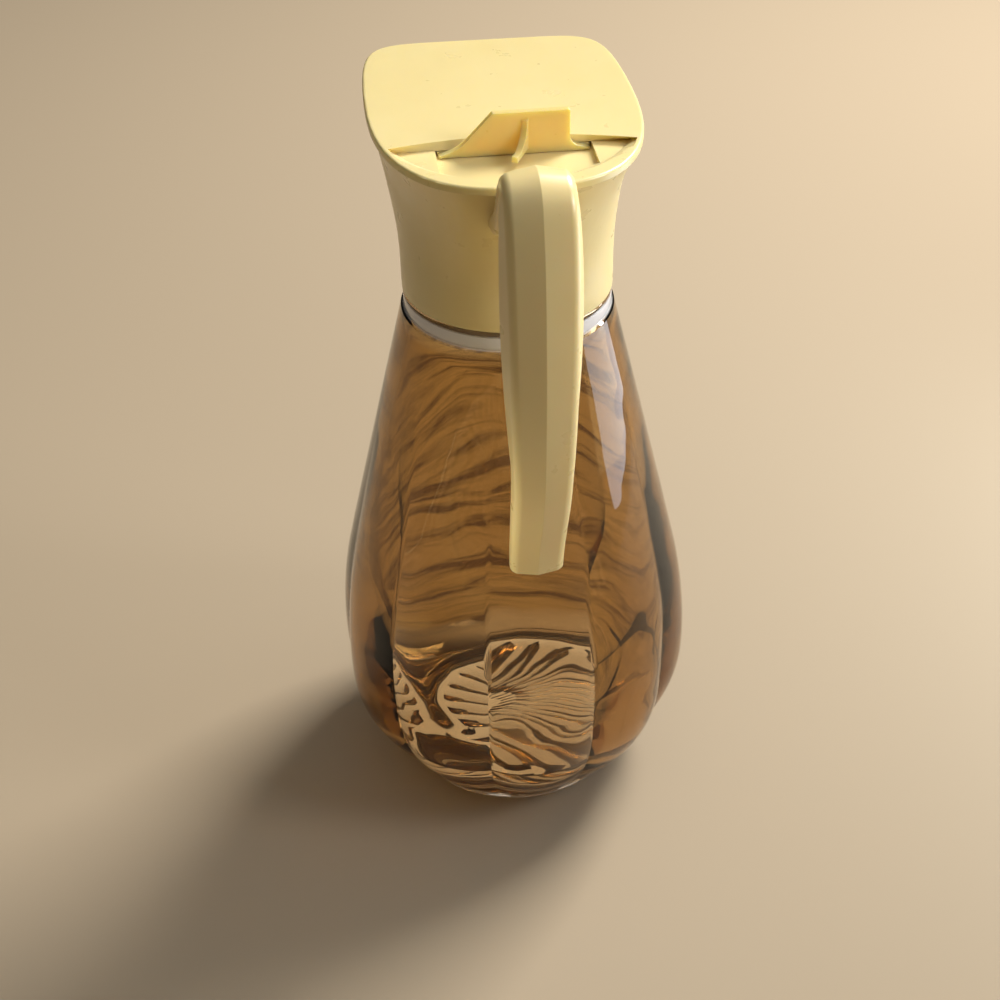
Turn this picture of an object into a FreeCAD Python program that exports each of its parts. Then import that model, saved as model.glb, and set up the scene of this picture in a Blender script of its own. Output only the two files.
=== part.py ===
"""Syrup dispenser: pressed glass jar, moulded collar with an open handle, flat cover and sliding gate.

Millimetres. +Z is up, the pouring lip points along +Y and the handle along -Y. The pieces are made
round the jar's axis and then moved along Y, so that the origin is the middle of the whole outline.
"""
import FreeCAD, Part
import math
import os

V = FreeCAD.Vector

AXIS_Y = 7.7             # the jar's axis, measured from the middle of the whole outline

# ---- neck and collar: what fits together ---------------------------------------------------------
FINISH_R = 19.0          # outer radius of the neck inside the collar
NECK_WALL = 3.4          # glass thickness of the neck
NECK_H = 22.0            # height of the neck above the shoulder, up to the mouth
BAND_H = 4.2             # plain band of glass that shows under the collar
SKIRT_GAP = 1.4          # room for the thread between the neck and the collar
COLLAR_WALL = 2.0        # wall of the skirt and of the flare
COLLAR_R = FINISH_R + SKIRT_GAP + COLLAR_WALL    # outer radius of the collar's skirt
BAND_R = COLLAR_R - 0.1                          # radius of the band of glass
MOUTH_R = FINISH_R - NECK_WALL                   # inner radius of the neck

# ---- glass jar ----------------------------------------------------------------------------------
BODY_R = 42.5            # widest radius of the jar, at the middle of a panel
BODY_Z = 34.0            # height of the widest ring
FOOT_R = 29.1            # outer radius of the foot ring
FOOT_H = 3.2             # height of the foot ring
FOOT_W = 4.6             # width of the flat that the jar stands on
SHOULDER_Z = 128.0       # height where the cone ends under the neck band
SHOULDER_R = BAND_R + 0.6                        # radius of that ring
MOUTH_Z = SHOULDER_Z + NECK_H                    # height of the rim of the mouth
WALL = 3.0               # glass thickness, measured from the creases inwards
KICK = 2.6               # height of the hollow under the floor
BASE_T = 4.9             # glass thickness of the floor
FLOOR_Z = KICK + BASE_T                          # height of the inside floor
INSIDE_CORNER = 12.0     # rounding between the floor and the wall, inside
JAR_LEVELS = 14          # steps of height that the panels are lofted through
PANELS = 10              # bulging panels round the jar
PANEL_TURN = -15.5       # degrees that the creases are turned from the handle's plane
CREASE = 2.6             # depth of the creases where the jar is widest
STAR_RAYS = 28           # moulded rays under the floor
STAR_R = FOOT_R - FOOT_W - 1.9                   # outer radius of the star
HUB_R = 4.0              # plain button in the middle of the star
RAY_H = 1.5              # height of a ray
RAY_FIT = 0.98           # share of its sector that a ray fills

# ---- collar -------------------------------------------------------------------------------------
COLLAR_LIFT = 0.7        # gap between the band of glass and the collar
FLARE_RISE = 9.1         # height of the straight skirt below the flare
FLARE_POWER = 1.5        # how late the flare opens: 1 is a straight cone
LAND = 1.8               # thickness of the ring that sits on the mouth of the jar
LID_RISE = 20.7          # height of the cover's top above the mouth
LID_T = 1.5              # thickness of the cover
DECK_T = 2.0             # floor that the gate slides on
COLLAR_Z = SHOULDER_Z + BAND_H + COLLAR_LIFT     # lower edge of the skirt
FLARE_Z = COLLAR_Z + FLARE_RISE                  # height where the skirt begins to open
LID_Z = MOUTH_Z + LID_RISE                       # top of the cover

# ---- outline of the lid -------------------------------------------------------------------------
LID_HALF = 27.3          # half width at the widest place
LID_WIDEST = 9.0         # where that is, measured from the jar's axis towards the lip
LID_FAR = 38.4           # the straight pouring lip
LID_NEAR = 34.8          # the round side, over the handle
FAR_POWER = 7.0          # squareness of the corners at the lip
NEAR_POWER = 2.65        # squareness at the round side
FAR_TAPER = 0.08         # share by which the lid narrows towards the lip
LID_STEP = 0.45          # how far the collar's top edge lies inside the cover's edge
EDGE_ROUND = 0.6         # rounding of the cover's upper edge
CHANNEL_INSET = 3.45     # how far the gate's channel stays inside the lid's outline

# ---- recess, gate and thumb tab -----------------------------------------------------------------
GATE_T = 0.8             # thickness of the gate
GATE_CLEAR = 0.15        # clearance above and below the gate
GATE_SIDE = 0.35         # clearance beside the gate
GATE_HALF = 14.7         # half width of the gate
TRAVEL = 5.0             # how far the thumb draws the gate back
RIM = 2.9                # width of the rim between the recess and the handle's side of the lid
LEAST_RIM = 1.0          # least width of the rim beside the recess
WELL_R = 27.2            # radius of the recess's round side at the top
WELL_GRADE = 1.92        # how far the round side runs in for each millimetre that it drops
RECESS_L = 22.4          # distance from the handle's side of the lid to the top of the arched edge
SLOPE_L = 1.6            # length of the slope below the arched edge, seen from above
ARCH_R = 80.0            # radius of the arched edge, across the middle of the lid
ARCH_X = -3.0            # where the top of the arch lies, across the lid
WELL_Y = LID_NEAR - RIM - WELL_R                 # how far the round side's middle lies from the axis
ARCH_Y = LID_NEAR - RECESS_L                     # how far the top of the arch lies from the axis
FACET_Y = ARCH_Y + SLOPE_L                       # straight foot of the slope
TONGUE_HALF = 13.0       # half width of the gate's tongue
LIP_DEPTH = 5.8          # distance from the lip to the pouring hole
POUR_L = 6.6             # length of the pouring hole
POUR_HALF = TONGUE_HALF - 2.5                    # half width of the pouring hole
POUR_FAR = LID_FAR - LIP_DEPTH                   # its edge towards the lip
POUR_NEAR = POUR_FAR - POUR_L                    # its edge towards the handle
GATE_NEAR = FACET_Y + 0.1                        # near edge of the gate
GATE_SHOULDER = POUR_NEAR                        # where the gate narrows to its tongue
GATE_END = POUR_FAR + 1.0                        # end of the tongue, towards the lip
TAB_T = 1.4              # thickness of the thumb tab
TAB_CLEAR = 0.2          # clearance between the tab and the slope behind it
TAB_LEFT = 10.8          # reach of the tab's slanted side to the left of the middle
TAB_RIGHT = 10.7         # and of its upright side to the right
TAB_TOP_LEFT = 4.1       # where the slanted left side meets the top
TAB_RISE = 5.9           # height of the tab above the cover
TAB_ROUND = 0.5          # rounding of the tab's upper corners
SLANT_SWEEP = 8.0        # radius that sweeps the slanted side into its wing
SIDE_SWEEP = 2.0         # radius that sweeps the upright side into its wing
WING_HALF = 14.5         # reach of the low wings to each side
WING_RISE = 0.6          # height of the wings beside the tab, above the gate
WING_END = 0.4           # height of the wings' ends, above the gate's underside
WING_ROUND = 0.1         # rounding of the wings' ends
TAB_FACE = FACET_Y + TAB_CLEAR + TAB_T           # the tab's face, measured towards the handle
FIN_T = 1.2              # thickness of the curved fin in front of the tab
FIN_X = 2.0              # where the fin starts on the tab, right of the middle
FIN_REACH = 6.6          # how far it comes forward
FIN_TURN = 25.0          # degrees that it is turned from the handle's plane
FIN_CREST = 0.4          # how far its top comes forward
FIN_DROP = 1.5           # how far its top lies below the tab's top
FIN_TIP = 1.2            # height of its blunt front end
FIN_LIFT = 0.2           # clearance of its foot above the top of the gate
FIN_ROOT = 0.6           # how deep it reaches into the tab

# ---- handle: the line of its outer ridge, as reach from the axis and height above the cover -------
HANDLE_RIDGE = [
    (22.0, -6.2), (27.5, -5.9), (32.0, -4.4), (35.3, -0.6), (38.0, 3.8), (41.8, 7.4), (46.6, 8.6),
    (51.2, 6.5), (54.3, 0.6), (56.3, -9.5), (57.2, -24.7), (56.9, -38.7), (55.6, -51.7),
    (52.5, -62.9), (48.4, -72.7), (45.2, -82.7),
]
HANDLE_TOP_W = 13.2      # width of the outer face at the top
HANDLE_END_W = 11.2      # and at the free end
HANDLE_ROOT_W = 13.6     # width where it grows out of the collar
HANDLE_TOP_D = 5.8       # depth over the arch
HANDLE_DEPTH = 7.5       # depth of the grip, half way down
HANDLE_END_D = 5.0       # depth at the free end
HANDLE_SPLAY = 1.9       # how far each side spreads towards the jar, half way down
HANDLE_ROOF = 1.1        # height of the ridge above the edges of the outer face
HANDLE_CORNER = 2.1      # rounding of the two outer long edges
HANDLE_INNER = 1.3       # rounding of the two inner long edges
RIDGE_ROUND = 0.5        # rounding of the ridge
HANDLE_ROOT_SHARE = 0.20 # share of its length where the handle spreads into the collar
HANDLE_TAIL_SHARE = 0.75 # share of its length after which it thins towards the free end

# ---- heights that follow from the values above ---------------------------------------------------
COVER_Z = LID_Z - LID_T                          # underside of the cover, top edge of the collar
GATE_TOP = COVER_Z - GATE_CLEAR
DECK_Z = GATE_TOP - GATE_T - GATE_CLEAR          # top of the deck


def ring_radius(z):
    """Radius of the jar at the middle of a panel: a round belly under a nearly straight cone."""
    cone_z = BODY_Z + 0.32 * (SHOULDER_Z - BODY_Z)
    cone_r = BODY_R - 0.19 * (BODY_R - SHOULDER_R)
    if z <= BODY_Z:
        share = (BODY_Z - z) / (BODY_Z - FOOT_H)
        return BODY_R - (BODY_R - FOOT_R - 0.6) * share ** 2.2
    if z >= cone_z:
        return cone_r + (SHOULDER_R - cone_r) * (z - cone_z) / (SHOULDER_Z - cone_z)
    share = (z - BODY_Z) / (cone_z - BODY_Z)
    slope = (SHOULDER_R - cone_r) / (SHOULDER_Z - cone_z) * (cone_z - BODY_Z)
    drop = cone_r - BODY_R
    return BODY_R + (3 * drop - slope) * share ** 2 + (slope - 2 * drop) * share ** 3


def crease_depth(z):
    """The creases are deepest at the belly and run out at the foot and below the neck."""
    if z < BODY_Z:
        return CREASE * math.sin(0.5 * math.pi * (z - FOOT_H) / (BODY_Z - FOOT_H)) ** 0.55
    share = (SHOULDER_Z - z) / (SHOULDER_Z - BODY_Z)
    return CREASE * share ** 2.5


def panel_wire(z):
    """One level outline of the jar: a ring of arcs that meet in creases."""
    outer = ring_radius(z)
    inner = outer - crease_depth(z)
    step = 2 * math.pi / PANELS
    start = math.radians(PANEL_TURN - 90)
    edges = []
    for k in range(PANELS):
        turn = start + (k + 0.5) * step
        points = []
        for radius, angle in ((inner, turn - step / 2), (outer, turn), (inner, turn + step / 2)):
            points.append(V(radius * math.cos(angle), radius * math.sin(angle), z))
        edges.append(Part.Arc(*points).toShape())
    return Part.Wire(edges)


def turned(points):
    """Solid of revolution from an outline of (radius, height) points."""
    outline = Part.makePolygon([V(r, 0, z) for r, z in points + points[:1]])
    return Part.Face(outline).revolve(V(0, 0, 0), V(0, 0, 1), 360)


def star_ray(angle):
    """One roof-shaped ray, which hangs from the hollow under the floor."""
    wires = []
    root = KICK + 0.3
    for radius, share in ((HUB_R - 0.5, 0.25), (0.7 * STAR_R, 1.0), (STAR_R, 0.8)):
        half = radius * math.tan(math.pi / STAR_RAYS) * RAY_FIT
        ridge = V(radius, 0, KICK - share * RAY_H)
        corners = [V(radius, -half, root), V(radius, half, root), ridge]
        wires.append(Part.makePolygon(corners + corners[:1]))
    ray = Part.makeLoft(wires, True, True)
    ray.rotate(V(0, 0, 0), V(0, 0, 1), angle)
    return ray


def glass_jar():
    levels = [FOOT_H + (SHOULDER_Z - FOOT_H) * (k / JAR_LEVELS) ** 1.25 for k in range(JAR_LEVELS + 1)]
    body = Part.makeLoft([panel_wire(z) for z in levels], True, False)
    band_top = SHOULDER_Z + BAND_H
    neck = turned([(0, SHOULDER_Z - 2), (SHOULDER_R - 0.6, SHOULDER_Z - 2), (BAND_R, SHOULDER_Z),
                   (BAND_R, band_top - 0.6), (BAND_R - 0.6, band_top), (FINISH_R, band_top),
                   (FINISH_R, MOUTH_Z), (0, MOUTH_Z)])
    foot = turned([(0, 0), (FOOT_R - 0.8, 0), (FOOT_R, 0.8), (FOOT_R, FOOT_H + 0.6), (0, FOOT_H + 0.6)])
    solid = body.fuse([neck, foot])
    inside = [(0, FLOOR_Z)]
    corner_top = FLOOR_Z + INSIDE_CORNER
    floor_edge = ring_radius(corner_top) - CREASE - WALL - INSIDE_CORNER
    steps = 6
    for k in range(steps + 1):
        angle = 0.5 * math.pi * k / steps
        radius = floor_edge + INSIDE_CORNER * math.sin(angle)
        inside.append((radius, corner_top - INSIDE_CORNER * math.cos(angle)))
    inside += [(ring_radius(z) - crease_depth(z) - WALL, z) for z in levels[:-1] if z > corner_top + 2]
    inside += [(MOUTH_R, SHOULDER_Z + 2), (MOUTH_R, MOUTH_Z + 1), (0, MOUTH_Z + 1)]
    hollow = Part.makeCylinder(FOOT_R - FOOT_W, KICK + 1, V(0, 0, -1))
    solid = solid.cut([turned(inside), hollow])
    rays = [star_ray(360.0 * k / STAR_RAYS) for k in range(STAR_RAYS)]
    button = Part.makeCylinder(HUB_R, RAY_H + 0.3, V(0, 0, KICK - RAY_H))
    return solid.fuse(rays + [button]).removeSplitter()


def lid_point(angle, inset=0.0):
    """A point of the lid's outline: square at the lip, round over the handle."""
    far = math.sin(angle) >= 0
    half = LID_HALF - inset
    reach = (LID_FAR - LID_WIDEST if far else LID_WIDEST + LID_NEAR) - inset
    power = FAR_POWER if far else NEAR_POWER
    radius = (abs(math.cos(angle) / half) ** power + abs(math.sin(angle) / reach) ** power) ** (-1 / power)
    x = radius * math.cos(angle)
    y = radius * math.sin(angle)
    if far:
        x *= 1 - FAR_TAPER * (y / reach) ** 2
    return x, y + LID_WIDEST


def closed_curve(points):
    curve = Part.BSplineCurve()
    curve.interpolate(Points=points, PeriodicFlag=True)
    return Part.Wire([curve.toShape()])


def lid_wire(z, inset=0.0, blend=1.0, radius=COLLAR_R):
    """Outline at one height, between a plain circle (blend 0) and the lid's outline (blend 1)."""
    steps = 72
    points = []
    for k in range(steps):
        angle = 2 * math.pi * (k + 0.5) / steps
        x, y = lid_point(angle, inset)
        circle_x = radius * math.cos(angle)
        circle_y = radius * math.sin(angle)
        points.append(V(circle_x + blend * (x - circle_x), circle_y + blend * (y - circle_y), z))
    return closed_curve(points)


def slab(z, thickness, inset=0.0):
    return Part.Face(lid_wire(z, inset)).extrude(V(0, 0, thickness))


def box(x0, x1, y0, y1, z0, z1):
    return Part.makeBox(x1 - x0, y1 - y0, z1 - z0, V(x0, y0, z0))


def funnel(inset, bottom, top):
    """The collar's flaring body, drawn in by inset, from one height to another."""
    wires = []
    steps = 6
    for k in range(steps + 1):
        z = bottom + (top - bottom) * k / steps
        share = max(0.0, (z - FLARE_Z) / (COVER_Z - FLARE_Z)) ** FLARE_POWER
        wires.append(lid_wire(z, LID_STEP + inset, share, COLLAR_R - inset))
    return Part.makeLoft(wires, True, False)


def rounded_wire(corners):
    """Closed wire through (point, radius) corners, each rounded by an arc."""
    edges = []
    joints = []
    count = len(corners)
    for k in range(count):
        point, radius = corners[k]
        before = (corners[k - 1][0] - point).normalize()
        after = (corners[(k + 1) % count][0] - point).normalize()
        half = before.getAngle(after) / 2
        reach = radius / math.tan(half)
        inward = (before + after).normalize()
        middle = point + inward * (radius / math.sin(half) - radius)
        joints.append((point + before * reach, middle, point + after * reach))
    for k in range(count):
        edges.append(Part.Arc(*joints[k]).toShape())
        edges.append(Part.LineSegment(joints[k][2], joints[(k + 1) % count][0]).toShape())
    return Part.Wire(edges)


def handle():
    """The open C of the handle, lofted through sections square to its ridge."""
    ridge = Part.BSplineCurve()
    ridge.interpolate([V(0, -reach, LID_Z + height) for reach, height in HANDLE_RIDGE])
    count = 48
    wires = []
    for k, point in enumerate(ridge.discretize(count)):
        share = k / (count - 1)
        along = ridge.tangent(ridge.parameter(point))[0]
        outward = along.cross(V(1, 0, 0)).normalize()
        root = max(0.0, 1 - share / HANDLE_ROOT_SHARE)
        tail = max(0.0, (share - HANDLE_TAIL_SHARE) / (1 - HANDLE_TAIL_SHARE))
        spread = min(max((share - HANDLE_ROOT_SHARE) / (HANDLE_TAIL_SHARE - HANDLE_ROOT_SHARE), 0), 1)
        width = HANDLE_TOP_W + (HANDLE_END_W - HANDLE_TOP_W) * share + (HANDLE_ROOT_W - HANDLE_TOP_W) * root
        depth = HANDLE_TOP_D + (HANDLE_DEPTH - HANDLE_TOP_D) * min(1, spread * 2)
        depth += (HANDLE_END_D - HANDLE_DEPTH) * tail
        splay = HANDLE_SPLAY * math.sin(math.pi * spread)
        eave = point - outward * HANDLE_ROOF
        back = point - outward * depth
        face = V(width / 2, 0, 0)
        inner = V(width / 2 + splay, 0, 0)
        wires.append(rounded_wire([
            (point, RIDGE_ROUND), (eave + face, HANDLE_CORNER), (back + inner, HANDLE_INNER),
            (back - inner, HANDLE_INNER), (eave - face, HANDLE_CORNER)]))
    return Part.makeLoft(wires, True, True)


def well(bottom, top):
    """The round, sloping side of the recess as a solid cone, between two heights."""
    low_r = WELL_R - WELL_GRADE * (LID_Z - bottom)
    return Part.makeCone(low_r, low_r + WELL_GRADE * (top - bottom), top - bottom, V(0, -WELL_Y, bottom))


def near_side(z, arched):
    """Outline of all that lies nearer the handle than the arch, or than the straight foot of the slope."""
    side = LID_HALF + 2
    back = -LID_NEAR - 2
    front = []
    for x in (-side, ARCH_X, side):
        y = -ARCH_Y - ARCH_R + math.sqrt(ARCH_R ** 2 - (x - ARCH_X) ** 2)
        front.append(V(x, y if arched else -FACET_Y, z))
    edge = Part.Arc(*front) if arched else Part.LineSegment(front[0], front[2])
    corners = [front[2], V(side, back, z), V(-side, back, z), front[0]]
    edges = [edge.toShape()]
    for start, end in zip(corners, corners[1:]):
        edges.append(Part.LineSegment(start, end).toShape())
    return Part.Wire(edges)


def recess():
    """The opening in the cover: a round side by the handle, and a slope from the arch to its foot."""
    over = 1.0
    slope = Part.makeLoft([near_side(COVER_Z, False), near_side(LID_Z, True)], True, True)
    above = Part.Face(near_side(LID_Z, True)).extrude(V(0, 0, over))
    below = Part.Face(near_side(COVER_Z, False)).extrude(V(0, 0, -over))
    inside_rim = slab(COVER_Z - over, LID_T + 2 * over, LEAST_RIM)
    return well(COVER_Z - over, LID_Z + over).common(slope.fuse([above, below])).common(inside_rim)


def channel():
    """The space that the gate slides in, cut into the top of the collar."""
    half = GATE_HALF + GATE_SIDE
    deep = slab(DECK_Z, COVER_Z - DECK_Z + 1, CHANNEL_INSET)
    near = -TAB_FACE - TRAVEL - GATE_SIDE
    wide = deep.common(box(-half, half, near, GATE_SHOULDER + GATE_SIDE, DECK_Z, COVER_Z + 1))
    mouth = TONGUE_HALF + GATE_SIDE
    bowl = well(DECK_Z, COVER_Z + 1).common(box(-half, half, -LID_NEAR, -FACET_Y, DECK_Z, COVER_Z + 1))
    return wide.fuse([bowl, box(-mouth, mouth, 0, LID_FAR + 1, DECK_Z, COVER_Z + 1)])


def collar():
    solid = funnel(0, COLLAR_Z, COVER_Z).fuse(handle())
    skirt = Part.makeCylinder(COLLAR_R - COLLAR_WALL, MOUTH_Z - COLLAR_Z + 1, V(0, 0, COLLAR_Z - 1))
    throat = Part.makeCylinder(MOUTH_R, LAND + 2, V(0, 0, MOUTH_Z - 1))
    chamber = funnel(COLLAR_WALL, MOUTH_Z + LAND, DECK_Z - DECK_T)
    pour = box(-POUR_HALF, POUR_HALF, POUR_NEAR, POUR_FAR, DECK_Z - DECK_T - 1, DECK_Z + 1)
    return solid.cut([skirt, throat, chamber, channel(), pour])


def cover():
    """The flat lid: a plate with a rounded upper edge and the recess."""
    steps = 3
    wires = [lid_wire(COVER_Z)]
    for k in range(steps + 1):
        angle = 0.5 * math.pi * k / steps
        height = LID_Z - EDGE_ROUND * (1 - math.sin(angle))
        wires.append(lid_wire(height, EDGE_ROUND * (1 - math.cos(angle))))
    return Part.makeLoft(wires, True, True).cut(recess())


def tab():
    """The thumb tab: upright on the right, slanted on the left, both swept into low wings."""
    bottom = GATE_TOP - GATE_T
    wing = GATE_TOP + WING_RISE
    end = bottom + WING_END
    top = LID_Z + TAB_RISE
    outline = rounded_wire([
        (V(TAB_RIGHT, 0, top), TAB_ROUND), (V(-TAB_TOP_LEFT, 0, top), TAB_ROUND),
        (V(-TAB_LEFT, 0, wing), SLANT_SWEEP), (V(-WING_HALF, 0, end), WING_ROUND),
        (V(-WING_HALF, 0, bottom), WING_ROUND), (V(WING_HALF, 0, bottom), WING_ROUND),
        (V(WING_HALF, 0, end), WING_ROUND), (V(TAB_RIGHT, 0, wing), SIDE_SWEEP)])
    plate = Part.Face(outline).extrude(V(0, TAB_T, 0))
    plate.translate(V(0, -TAB_FACE, 0))
    return plate


def tab_foot():
    """The strip of the gate that runs out in front of the slope to carry the tab."""
    bottom = GATE_TOP - GATE_T
    return box(-TAB_LEFT, TAB_RIGHT, -TAB_FACE, -GATE_NEAR + 1, bottom, GATE_TOP)


def fin():
    """The thin fin between the tab and the floor of the recess, with a hollow front edge."""
    top = LID_Z + TAB_RISE - FIN_DROP
    foot = GATE_TOP + FIN_LIFT
    corners = [V(FIN_CREST, 0, top), V(FIN_REACH, 0, foot + FIN_TIP), V(FIN_REACH, 0, foot),
               V(-FIN_ROOT, 0, foot), V(-FIN_ROOT, 0, top)]
    hollow = V(0.28 * FIN_REACH, 0, foot + 0.42 * (top - foot))
    edges = [Part.Arc(corners[0], hollow, corners[1]).toShape()]
    for a, b in zip(corners[1:], corners[2:] + corners[:1]):
        edges.append(Part.LineSegment(a, b).toShape())
    blade = Part.Face(Part.Wire(edges)).extrude(V(0, FIN_T, 0))
    blade.translate(V(0, -FIN_T / 2, 0))
    blade.rotate(V(0, 0, 0), V(0, 0, 1), -90 - FIN_TURN)
    blade.translate(V(FIN_X, -TAB_FACE, 0))
    return blade


def gate():
    bottom = GATE_TOP - GATE_T
    wide = box(-GATE_HALF, GATE_HALF, -GATE_NEAR, GATE_SHOULDER, bottom, GATE_TOP)
    closed = slab(bottom, GATE_T, CHANNEL_INSET + GATE_SIDE)
    drawn = closed.translated(V(0, TRAVEL, 0))
    tongue = box(-TONGUE_HALF, TONGUE_HALF, 0, GATE_END, bottom, GATE_TOP)
    return wide.common(closed).common(drawn).fuse([tongue, tab_foot(), tab(), fin()]).removeSplitter()


PIECES = {
    "glass_jar": glass_jar,
    "collar_and_handle": collar,
    "cover": cover,
    "gate": gate,
}

os.makedirs("parts", exist_ok=True)
for name, make in PIECES.items():
    shape = make()
    shape.translate(V(0, AXIS_Y, 0))
    print(name, "solids", len(shape.Solids), "valid", shape.isValid(), "mm3", round(shape.Volume, 1))
    shape.Solids[0].exportStep("parts/" + name + ".step")
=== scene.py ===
"""Syrup dispenser: a pressed glass jar with a moulded collar and handle, a flat cover and a thumb gate."""
import math

import bpy
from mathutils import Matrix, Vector


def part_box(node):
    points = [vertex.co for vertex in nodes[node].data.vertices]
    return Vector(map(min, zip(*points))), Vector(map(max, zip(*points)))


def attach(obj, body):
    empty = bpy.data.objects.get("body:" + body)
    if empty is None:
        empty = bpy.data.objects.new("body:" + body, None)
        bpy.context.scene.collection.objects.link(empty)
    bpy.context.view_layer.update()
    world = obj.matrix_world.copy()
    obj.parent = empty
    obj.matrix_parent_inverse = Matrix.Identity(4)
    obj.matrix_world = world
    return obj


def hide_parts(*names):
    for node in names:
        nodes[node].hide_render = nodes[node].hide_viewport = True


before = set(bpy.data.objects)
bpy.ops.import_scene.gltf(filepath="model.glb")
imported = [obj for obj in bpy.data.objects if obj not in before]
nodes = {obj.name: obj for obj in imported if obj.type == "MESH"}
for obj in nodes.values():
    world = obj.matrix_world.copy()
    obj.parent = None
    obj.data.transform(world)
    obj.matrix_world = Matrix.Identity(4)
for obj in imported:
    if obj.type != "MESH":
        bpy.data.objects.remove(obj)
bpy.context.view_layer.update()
bpy.ops.object.select_all(action="DESELECT")


# ---- glass jar ----------------------------------------------------------------------------------
# Pressed soda glass with ten bulging panels, a foot ring and a moulded star under the floor.
# It was pressed hot in an iron mould, so it is fire polished and a little wavy. The amber tint and its
# streaks are only in the outer wall. A plain band without amber shows under the collar; its near-white,
# nearly opaque colour is a painted reflection.
def linear(code):
    """An sRGB colour such as "#d2a05a" as linear RGBA."""
    values = [int(code[k:k + 2], 16) / 255 for k in (1, 3, 5)]
    return tuple(v / 12.92 if v <= 0.04045 else ((v + 0.055) / 1.055) ** 2.4 for v in values) + (1.0,)


def add(tree, kind, inputs=None, **settings):
    """Adds one node with its settings, and sets or links its inputs."""
    node = tree.nodes.new(kind)
    for name, value in settings.items():
        setattr(node, name, value)
    for name, value in (inputs or {}).items():
        if isinstance(value, bpy.types.NodeSocket):
            tree.links.new(value, node.inputs[name])
        else:
            node.inputs[name].default_value = value
    return node


def new_material(name):
    """A material with only an output and a Principled shader, as (material, tree, shader)."""
    material = bpy.data.materials.new(name)
    material.use_nodes = True
    tree = material.node_tree
    tree.nodes.clear()
    shader = add(tree, "ShaderNodeBsdfPrincipled")
    add(tree, "ShaderNodeOutputMaterial", {"Surface": shader.outputs["BSDF"]})
    return material, tree, shader


def give(obj, material):
    """Makes the material the object's only one."""
    obj.data.materials.clear()
    obj.data.materials.append(material)


MM = 0.001
low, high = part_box("glass_jar")
axis_y = (low.y + high.y) / 2
BELLY_R = 42.5             # widest radius, in mm as all sizes here
BELLY_Z = 34.0
FOOT_R = 29.1              # outer radius of the foot ring
FOOT_H = 3.2
FOOT_STEP = 0.8            # from the top of the foot ring to the start of the wall
FOOT_ROUND = 1.7           # rounding of the ring that the jar stands on
FOOT_INSET = 1.9           # its middle, inside the outer radius
FOOT_TUCK = 0.6            # how far the wall starts outside the foot ring
SHOULDER_R = 22.9
SHOULDER_Z = 128.0
CONE_START = 0.32          # share of the height from belly to shoulder where the cone starts
CONE_DROP = 0.19           # share of the narrowing that is done by then
BELLY_CURVE = 2.2          # power that rounds the belly into the foot
BAND_R = 22.3
BAND_TOP = 132.2
BAND_ROUND = 0.9
BAND_FOOT = 0.4            # rounding where the band meets the shoulder
BAND_LIFT = 0.9            # and how far that lies above the shoulder
FINISH_R = 19.0            # outer radius of the neck inside the collar
MOUTH_R = 15.6
NECK_FOOT = 6              # height above the shoulder where the straight neck starts inside
LIP_ROUND = 0.8
WALL = 3.0
FLOOR_Z = 7.5              # inside floor
FLOOR_CORNER = 12.0
CREASE = 2.6               # depth of the creases between the panels
CREASE_LOW = 0.55          # how fast they fade towards the foot
CREASE_HIGH = 2.5          # and towards the neck
PANELS = 10
PANEL_TURN = -15.5         # degrees that the creases are turned from the handle's plane
KICK = 2.6                 # hollow under the floor
RAYS = 28
RAY_H = 2.1
RAY_POWER = 0.8            # below 1, so the rays are blunt and the gaps between them narrow
RAY_INNER = 6              # how steeply the rays rise beside the hub
RAY_OUTER = 8              # and how steeply they end at the rim
HUB_R = 4.0
HUB_DROP = 0.6             # the hub's height as a share of the rays' height
STAR_R = 23.0
STAR_ROUND = 0.8           # rounding of its rim
STAR_STEPS = 18
LEVELS = 56                # rings of the outer wall, closer together near the foot
COLUMNS = 280              # ten to each ray and 28 to each panel
jar_top = high.z / MM


def ring_radius(z):
    """Radius at the middle of a panel: a round belly under a nearly straight cone."""
    cone_z = BELLY_Z + CONE_START * (SHOULDER_Z - BELLY_Z)
    cone_r = BELLY_R - CONE_DROP * (BELLY_R - SHOULDER_R)
    if z <= BELLY_Z:
        share = max(0.0, (BELLY_Z - z) / (BELLY_Z - FOOT_H))
        return BELLY_R - (BELLY_R - FOOT_R - FOOT_TUCK) * share ** BELLY_CURVE
    if z >= cone_z:
        return cone_r + (SHOULDER_R - cone_r) * (z - cone_z) / (SHOULDER_Z - cone_z)
    share = (z - BELLY_Z) / (cone_z - BELLY_Z)
    slope = (SHOULDER_R - cone_r) / (SHOULDER_Z - cone_z) * (cone_z - BELLY_Z)
    drop = cone_r - BELLY_R
    return BELLY_R + (3 * drop - slope) * share ** 2 + (slope - 2 * drop) * share ** 3


def crease_depth(z):
    """Creases are deepest at the belly and run out at the foot and below the neck."""
    if z < BELLY_Z:
        return CREASE * math.sin(0.5 * math.pi * max(0.0, z - FOOT_H) / (BELLY_Z - FOOT_H)) ** CREASE_LOW
    return CREASE * max(0.0, (SHOULDER_Z - z) / (SHOULDER_Z - BELLY_Z)) ** CREASE_HIGH


def arc(middle_r, middle_z, radius, start, end, steps):
    """Points of a round corner in the jar's profile, from one angle to another in degrees."""
    points = []
    for k in range(steps + 1):
        angle = math.radians(start + (end - start) * k / steps)
        points.append((middle_r + radius * math.cos(angle), middle_z + radius * math.sin(angle)))
    return points


corner_top = FLOOR_Z + FLOOR_CORNER
floor_edge = ring_radius(corner_top) - CREASE - WALL - FLOOR_CORNER
rise = SHOULDER_Z - FOOT_H - FOOT_STEP
outer_levels = [FOOT_H + FOOT_STEP + rise * (k / LEVELS) ** 1.2 for k in range(LEVELS + 1)]
inner_levels = [z for z in reversed(outer_levels[:-1]) if z > corner_top]

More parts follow.
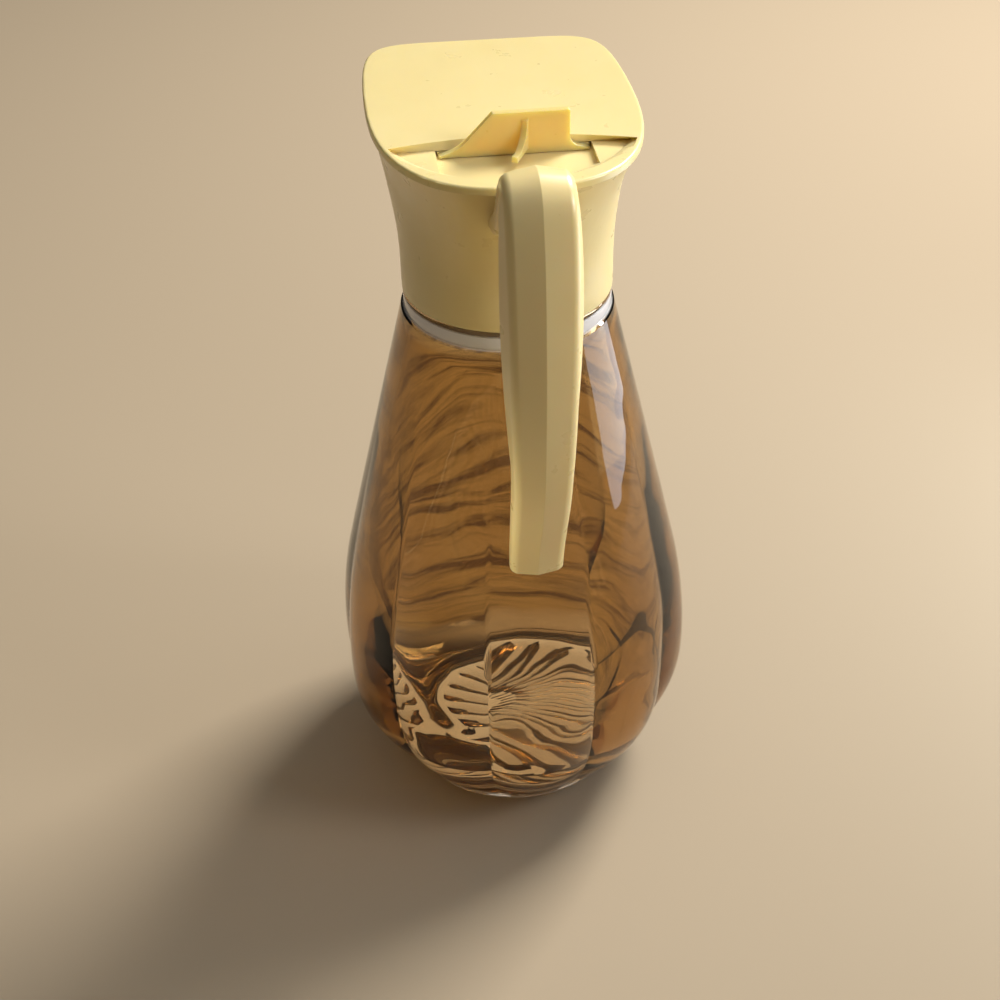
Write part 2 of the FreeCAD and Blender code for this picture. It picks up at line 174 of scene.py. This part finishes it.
# The half section of the glass, from the hub of the star round the outside and back down the inside.
profile = [(HUB_R * k / 3, KICK - RAY_H * HUB_DROP) for k in range(4)]
profile += [(HUB_R + (STAR_R - HUB_R) * k / STAR_STEPS, KICK) for k in range(1, STAR_STEPS + 1)]
profile += arc(STAR_R + STAR_ROUND, KICK - STAR_ROUND, STAR_ROUND, 90, 0, 4)
profile += arc(FOOT_R - FOOT_INSET, FOOT_ROUND, FOOT_ROUND, -110, 0, 10)
profile += [(ring_radius(z), z) for z in outer_levels]
profile += arc(BAND_R - BAND_FOOT, SHOULDER_Z + BAND_LIFT, BAND_FOOT, -60, 0, 3)
profile += arc(BAND_R - BAND_ROUND, BAND_TOP - BAND_ROUND, BAND_ROUND, 0, 90, 6)
profile += [(FINISH_R, BAND_TOP), (FINISH_R, jar_top - LIP_ROUND)]
profile += arc(FINISH_R - LIP_ROUND, jar_top - LIP_ROUND, LIP_ROUND, 0, 90, 3)
profile += arc(MOUTH_R + LIP_ROUND, jar_top - LIP_ROUND, LIP_ROUND, 90, 180, 3)
profile += [(MOUTH_R, SHOULDER_Z + NECK_FOOT)]
profile += [(ring_radius(z) - crease_depth(z) - WALL, z) for z in inner_levels]
profile += arc(floor_edge, corner_top, FLOOR_CORNER, 0, -90, 16)
profile += [(floor_edge * (1 - k / 5), FLOOR_Z) for k in range(1, 6)]

# One point is drawn out along the section, and the section is spun round the axis.
bpy.ops.mesh.primitive_plane_add(size=0.001)
jar = bpy.context.object
jar.name = "glass_jar_body"
bpy.ops.object.mode_set(mode="EDIT")
bpy.ops.mesh.select_all(action="SELECT")
bpy.ops.mesh.merge(type="CENTER")
reach, height = 0.0, 0.0
for r, z in profile:
    step = (r * MM - reach, 0, z * MM - height)
    if (reach, height) == (0.0, 0.0):
        bpy.ops.transform.translate(value=step)
    else:
        bpy.ops.mesh.extrude_region_move(TRANSFORM_OT_translate={"value": step})
    reach, height = r * MM, z * MM
bpy.ops.mesh.select_all(action="SELECT")
bpy.ops.mesh.spin(steps=COLUMNS, angle=2 * math.pi, center=(0, 0, 0), axis=(0, 0, 1))
bpy.ops.mesh.select_all(action="SELECT")
bpy.ops.mesh.remove_doubles(threshold=0.00002)
bpy.ops.mesh.normals_make_consistent(inside=False)
bpy.ops.object.mode_set(mode="OBJECT")

# The creases are pressed into the outer wall and the rays pulled down under the floor. Two attributes
# tell the material which points are on the outer wall and which are on the rays or the foot.
first = math.radians(PANEL_TURN)
outside = jar.data.attributes.new("outside", "FLOAT", "POINT")
rays = jar.data.attributes.new("rays", "FLOAT", "POINT")
for vertex in jar.data.vertices:
    x, y, z = vertex.co / MM
    r = math.hypot(x, y)
    turn = math.degrees(math.atan2(y, x)) + 90
    shrink = 1.0
    if FOOT_H + 0.5 < z < SHOULDER_Z and r > ring_radius(z) - 0.5:
        across = (turn / (360 / PANELS)) % 1
        shrink -= crease_depth(z) * (2 * across - 1) ** 2 / r
        outside.data[vertex.index].value = 1.0
    elif HUB_R < r < STAR_R and KICK - 0.1 < z < KICK + 0.1:
        along = (r - HUB_R) / (STAR_R - HUB_R)
        ridge = abs(math.sin(math.radians(turn * RAYS / 2))) ** RAY_POWER
        ridge *= min(1, RAY_INNER * along, RAY_OUTER * (1 - along))
        z -= RAY_H * ridge
        rays.data[vertex.index].value = ridge
    elif z < FOOT_H - 0.5 and r > STAR_R + 3:
        rays.data[vertex.index].value = 0.5
    vertex.co.x = (x * math.cos(first) - y * math.sin(first)) * shrink * MM
    vertex.co.y = (x * math.sin(first) + y * math.cos(first)) * shrink * MM + axis_y
    vertex.co.z = z * MM
bpy.ops.object.shade_smooth_by_angle(angle=math.radians(24))

GLASS_AMBER = "#b08d4c"
GLASS_DARK = "#3c230c"
GLASS_CLEAR = "#fbf8f0"
GLASS_FRONT = "#dab880"
GLASS_BAND_PAINTED_REFLECTION = "#f1f0f2"     # the band under the collar: a near-white painted reflection of the light
GLASS_DEEP = "#d8bc84"     # what is left of the light after a long way through the glass

# Pressed soda glass, fire polished: quite smooth, with slow waves that bend what is seen through it. The
# amber lies in bent, nearly level streaks at the back and is an even tint on the handle's side, so the eye
# meets the streaks through the front wall. Long ways through the glass at the edges come out darker.
glass, tree, shader = new_material("pressed_soda_glass")
place = add(tree, "ShaderNodeTexCoord")
parts = add(tree, "ShaderNodeSeparateXYZ", {"Vector": place.outputs["Object"]})
# Scale 24 bends the streaks every 40 mm. They are about 45 mm long and 5 mm high.
flow = add(tree, "ShaderNodeTexNoise", {"Vector": place.outputs["Object"], "Scale": 24.0, "Detail": 2.0})
bend = add(tree, "ShaderNodeVectorMath", {0: flow.outputs["Color"], 1: (0.012, 0.012, 0.03)},
           operation="MULTIPLY")
bent = add(tree, "ShaderNodeVectorMath", {0: place.outputs["Object"], 1: bend.outputs[0]},
           operation="ADD")
stretch = add(tree, "ShaderNodeMapping", {"Vector": bent.outputs[0], "Scale": (22, 22, 210)})
streaks = add(tree, "ShaderNodeTexNoise", {"Vector": stretch.outputs[0], "Scale": 1.0, "Detail": 5.0,
                                           "Roughness": 0.62, "Distortion": 0.6})
tone = add(tree, "ShaderNodeValToRGB", {"Fac": streaks.outputs["Fac"]})
tone.color_ramp.elements[0].position = 0.40
tone.color_ramp.elements[0].color = linear(GLASS_DARK)
tone.color_ramp.elements[1].position = 0.54
tone.color_ramp.elements[1].color = linear(GLASS_AMBER)
half = add(tree, "ShaderNodeMapRange", {"Value": parts.outputs["Y"], "From Min": -0.012, "From Max": 0.008})
amber = add(tree, "ShaderNodeMix", {"Factor": half.outputs[0], 7: tone.outputs["Color"]}, data_type="RGBA")
amber.inputs[6].default_value = linear(GLASS_FRONT)
# Amber on the outer wall only, and none on the foot.
foot = add(tree, "ShaderNodeMapRange", {"Value": parts.outputs["Z"], "From Min": 0.003, "From Max": 0.009})
outer = add(tree, "ShaderNodeAttribute", attribute_name="outside")
wall = add(tree, "ShaderNodeMath", {0: foot.outputs[0], 1: outer.outputs["Fac"]}, operation="MULTIPLY")
tint = add(tree, "ShaderNodeMix", {"Factor": wall.outputs[0], 7: amber.outputs[2]}, data_type="RGBA")
tint.inputs[6].default_value = linear(GLASS_CLEAR)
# The band, between the shoulder and its own rounded top, is painted near-white as a painted reflection.
above = add(tree, "ShaderNodeMapRange", {"Value": parts.outputs["Z"], "From Min": (SHOULDER_Z + 0.2) * MM,
                                         "From Max": (SHOULDER_Z + 0.6) * MM})
below = add(tree, "ShaderNodeMapRange", {"Value": parts.outputs["Z"], "From Min": (BAND_TOP - 0.4) * MM,
                                         "From Max": (BAND_TOP - 1.0) * MM})
painted_reflection_band = add(tree, "ShaderNodeMath", {0: above.outputs[0], 1: below.outputs[0]}, operation="MULTIPLY")
# painted reflection: the band is given a near-white colour in place of the light it mirrors
colour = add(tree, "ShaderNodeMix", {"Factor": painted_reflection_band.outputs[0], 6: tint.outputs[2]}, data_type="RGBA")
colour.inputs[7].default_value = linear(GLASS_BAND_PAINTED_REFLECTION)
tree.links.new(colour.outputs[2], shader.inputs["Base Color"])
# The band is nearly opaque, so that its painted reflection shows, and the rays and the foot are a little
# dull, as scuffed glass is.
scuffed = add(tree, "ShaderNodeAttribute", attribute_name="rays")
worn = add(tree, "ShaderNodeMath", {0: scuffed.outputs["Fac"], 1: 0.3}, operation="MULTIPLY")
scuff_and_painted_reflection = add(tree, "ShaderNodeMath", {0: painted_reflection_band.outputs[0], 1: worn.outputs[0]}, operation="MAXIMUM")
clear = add(tree, "ShaderNodeMapRange", {"Value": scuff_and_painted_reflection.outputs[0], "To Min": 1.0, "To Max": 0.12})
tree.links.new(clear.outputs[0], shader.inputs["Transmission Weight"])
# Scale 70 puts a wave about every 14 mm.
waves = add(tree, "ShaderNodeTexNoise", {"Vector": place.outputs["Object"], "Scale": 70.0, "Detail": 1.0})
wavy = add(tree, "ShaderNodeBump", {"Height": waves.outputs["Fac"], "Strength": 0.25, "Distance": 0.0008})
tree.links.new(wavy.outputs[0], shader.inputs["Normal"])
shader.inputs["Roughness"].default_value = 0.0
shader.inputs["IOR"].default_value = 1.5
inside = add(tree, "ShaderNodeVolumeAbsorption", {"Color": linear(GLASS_DEEP), "Density": 110.0})
tree.links.new(inside.outputs[0], tree.nodes["Material Output"].inputs["Volume"])
give(jar, glass)
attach(jar, "dispenser")
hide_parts("glass_jar")


# ---- collar and handle ---------------------------------------------------------------------------
# One moulding of cream polystyrene: the skirt over the neck, the flare up to the lid and the open handle.
# It left a polished mould glossy. Handling has worn it a little dull and marked it with small specks.
SHARP = 32                 # edges that turn by more degrees than this are rounded and shaded as edges


def moulded_copy(node, name, edge):
    """A merged copy of a CAD node with its sharp edges rounded, as the mould leaves them."""
    bpy.ops.object.select_all(action="DESELECT")
    piece = nodes[node].copy()
    piece.data = nodes[node].data.copy()
    piece.name = name
    bpy.context.scene.collection.objects.link(piece)
    piece.select_set(True)
    bpy.context.view_layer.objects.active = piece
    bpy.ops.object.mode_set(mode="EDIT")
    bpy.ops.mesh.select_all(action="SELECT")
    bpy.ops.mesh.remove_doubles(threshold=0.000002)
    bpy.ops.mesh.dissolve_limited(angle_limit=math.radians(0.6))
    bpy.ops.object.mode_set(mode="OBJECT")
    bevel = piece.modifiers.new("edges", "BEVEL")
    bevel.limit_method = "ANGLE"
    bevel.angle_limit = math.radians(SHARP)
    bevel.width = edge * MM
    bevel.segments = 2
    bpy.ops.object.modifier_apply(modifier="edges")
    bpy.ops.object.shade_smooth_by_angle(angle=math.radians(SHARP))
    flat = piece.modifiers.new("flat_faces", "WEIGHTED_NORMAL")
    flat.keep_sharp = True
    bpy.ops.object.modifier_apply(modifier="flat_faces")
    return piece


PLASTIC_CREAM = "#f4e0a4"
PLASTIC_DULL = "#efd896"
SPECK = "#7a5a34"
COLLAR_GLOW = 0.2          # how much of the light sinks into the plastic and comes out warm


def moulded_polystyrene(name, glow, cream_code):
    """Glossy cream polystyrene with faint clouding, fine rubbing and a few specks of dirt."""
    material, tree, shader = new_material(name)
    place = add(tree, "ShaderNodeTexCoord").outputs["Object"]
    # Clouding every 17 mm, between the new colour and a slightly yellowed one.
    clouds = add(tree, "ShaderNodeTexNoise", {"Vector": place, "Scale": 60.0, "Detail": 3.0})
    cream = add(tree, "ShaderNodeMix", {"Factor": clouds.outputs["Fac"]}, data_type="RGBA")
    cream.inputs[6].default_value = linear(cream_code)
    cream.inputs[7].default_value = linear(PLASTIC_DULL)
    # Specks half a millimetre across, one in each 11 mm, and only where a 29 mm pattern is high.
    grit = add(tree, "ShaderNodeTexVoronoi", {"Vector": place, "Scale": 90.0})
    dot = add(tree, "ShaderNodeMapRange", {"Value": grit.outputs["Distance"], "From Min": 0.04,
                                           "From Max": 0.025})
    patchy = add(tree, "ShaderNodeTexNoise", {"Vector": place, "Scale": 35.0, "Detail": 0.0})
    some = add(tree, "ShaderNodeMapRange", {"Value": patchy.outputs["Fac"], "From Min": 0.71,
                                            "From Max": 0.74})
    speck = add(tree, "ShaderNodeMath", {0: dot.outputs[0], 1: some.outputs[0]}, operation="MULTIPLY")
    colour = add(tree, "ShaderNodeMix", {"Factor": speck.outputs[0], 6: cream.outputs[2]}, data_type="RGBA")
    colour.inputs[7].default_value = linear(SPECK)
    tree.links.new(colour.outputs[2], shader.inputs["Base Color"])
    # Rubbing is drawn 6 mm wide, coarser than the real scratches, so that it shows.
    rubbing = add(tree, "ShaderNodeTexNoise", {"Vector": place, "Scale": 180.0, "Detail": 6.0})
    rough = add(tree, "ShaderNodeMapRange", {"Value": rubbing.outputs["Fac"], "To Min": 0.2, "To Max": 0.42})
    tree.links.new(rough.outputs[0], shader.inputs["Roughness"])
    # The slow unevenness of shrunk plastic, every 40 mm.
    ripple = add(tree, "ShaderNodeTexNoise", {"Vector": place, "Scale": 25.0, "Detail": 1.0})
    bump = add(tree, "ShaderNodeBump", {"Height": ripple.outputs["Fac"], "Strength": 0.12,
                                        "Distance": 0.001})
    tree.links.new(bump.outputs[0], shader.inputs["Normal"])
    shader.inputs["IOR"].default_value = 1.55
    shader.inputs["Subsurface Weight"].default_value = glow
    shader.inputs["Subsurface Radius"].default_value = (1.0, 0.75, 0.3)
    shader.inputs["Subsurface Scale"].default_value = 0.004
    return material


collar = moulded_copy("collar_and_handle", "collar_with_handle", 0.25)
collar_plastic = moulded_polystyrene("collar_polystyrene", COLLAR_GLOW, PLASTIC_CREAM)
give(collar, collar_plastic)
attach(collar, "dispenser")
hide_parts("collar_and_handle")


# ---- cover ---------------------------------------------------------------------------------------
# The flat lid with its recess for the thumb, moulded in the same cream polystyrene.
# It lies on the top edge of the collar and covers the channel that the gate slides in.
cover = moulded_copy("cover", "flat_cover", 0.25)
cover_plastic = moulded_polystyrene("cover_polystyrene", COLLAR_GLOW, PLASTIC_CREAM)
give(cover, cover_plastic)
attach(cover, "dispenser")
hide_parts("cover")


# ---- gate ----------------------------------------------------------------------------------------
# The sliding gate under the cover, one thin moulding with its upright thumb tab and curved fin.
# It is the same polystyrene, but so thin that light comes through it and it glows more. Its deeper, darker
# cream is painted shade.
# painted shade: the gate's cream is a darker copy of the cover's cream
GATE_CREAM_PAINTED_SHADE = "#e4c87c"
GATE_GLOW = 0.7

gate = moulded_copy("gate", "sliding_gate", 0.2)
gate_plastic_painted_shade = moulded_polystyrene("gate_polystyrene_painted_shade", GATE_GLOW, GATE_CREAM_PAINTED_SHADE)
give(gate, gate_plastic_painted_shade)
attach(gate, "gate")
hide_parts("gate")


# ---- floor, light and camera ---------------------------------------------------------------------
# A plain pale floor, soft light from behind on the right, and a bluish window reflected in the glass.
# One round light lies in the hollow under the jar, so that the star is seen against something bright.
FLOOR = "#b7a58b"
bpy.ops.mesh.primitive_plane_add(size=6)
floor = bpy.context.object
floor.name = "floor"
floor_paint, tree, shader = new_material("matt_floor")
shader.inputs["Base Color"].default_value = linear(FLOOR)
shader.inputs["Roughness"].default_value = 0.8
give(floor, floor_paint)


def soft_light(name, place, target, size, power, colour, spread=180, shape="RECTANGLE"):
    """An area light in metres and watts, turned to the target, with its spread in degrees."""
    data = bpy.data.lights.new(name, "AREA")
    data.shape = shape
    data.size, data.size_y = size
    data.energy = power
    data.color = colour
    data.spread = math.radians(spread)
    light = bpy.data.objects.new(name, data)
    light.location = place
    light.rotation_euler = (Vector(target) - Vector(place)).to_track_quat("-Z", "Y").to_euler()
    bpy.context.scene.collection.objects.link(light)


WARM = (1.0, 0.97, 0.92)
soft_light("key", (0.60, 0.48, 0.80), (0, 0.01, 0.1), (0.4, 0.4), 15.0, WARM)
soft_light("window", (0.27, 0.01, 0.08), (0, 0, 0.12), (0.20, 0.14), 0.28, (0.72, 0.85, 1.0))
soft_light("right", (0.25, -0.12, 0.30), (0, -0.04, 0.15), (0.10, 0.10), 0.045, (0.97, 0.97, 1.0), 50)
soft_light("side", (-0.22, -0.05, 0.085), (0, -0.045, 0.1), (0.02, 0.05), 0.004, (1.0, 0.93, 0.75), 16)
soft_light("base", (0, axis_y, 0.0003), (0, axis_y, 1), (0.05, 0.05), 0.0050, (1.0, 0.98, 0.96),
           shape="DISK")

# A dome that is bright overhead and almost dark at the sides, so the glass keeps dark edges.
world = bpy.data.worlds.new("studio")
world.use_nodes = True
tree = world.node_tree
sky = add(tree, "ShaderNodeTexCoord")
up = add(tree, "ShaderNodeSeparateXYZ", {"Vector": sky.outputs["Generated"]})
dome = add(tree, "ShaderNodeMapRange", {"Value": up.outputs["Z"], "From Min": 0.5, "From Max": 0.95,
                                        "To Min": 0.02, "To Max": 0.5}, interpolation_type="SMOOTHSTEP")
tree.links.new(dome.outputs[0], tree.nodes["Background"].inputs["Strength"])
tree.nodes["Background"].inputs["Color"].default_value = (*WARM, 1)
bpy.context.scene.world = world
bpy.context.scene.view_settings.view_transform = "Standard"

AZIMUTH = math.radians(-8.5)
ELEVATION = math.radians(37.63)
DISTANCE = 0.3574
target = Vector((0.00839, axis_y, 0.07225))
away = Vector((math.sin(AZIMUTH) * math.cos(ELEVATION), -math.cos(AZIMUTH) * math.cos(ELEVATION),
               math.sin(ELEVATION)))
camera_data = bpy.data.cameras.new("camera")
camera_data.lens = 54
camera_data.sensor_width = 36
camera_data.shift_x = -0.0462
camera_data.clip_start = 0.01
camera = bpy.data.objects.new("camera", camera_data)
camera.location = target + away * DISTANCE
camera.rotation_euler = (math.pi / 2 - ELEVATION, 0, AZIMUTH)
bpy.context.scene.collection.objects.link(camera)
bpy.context.scene.camera = camera
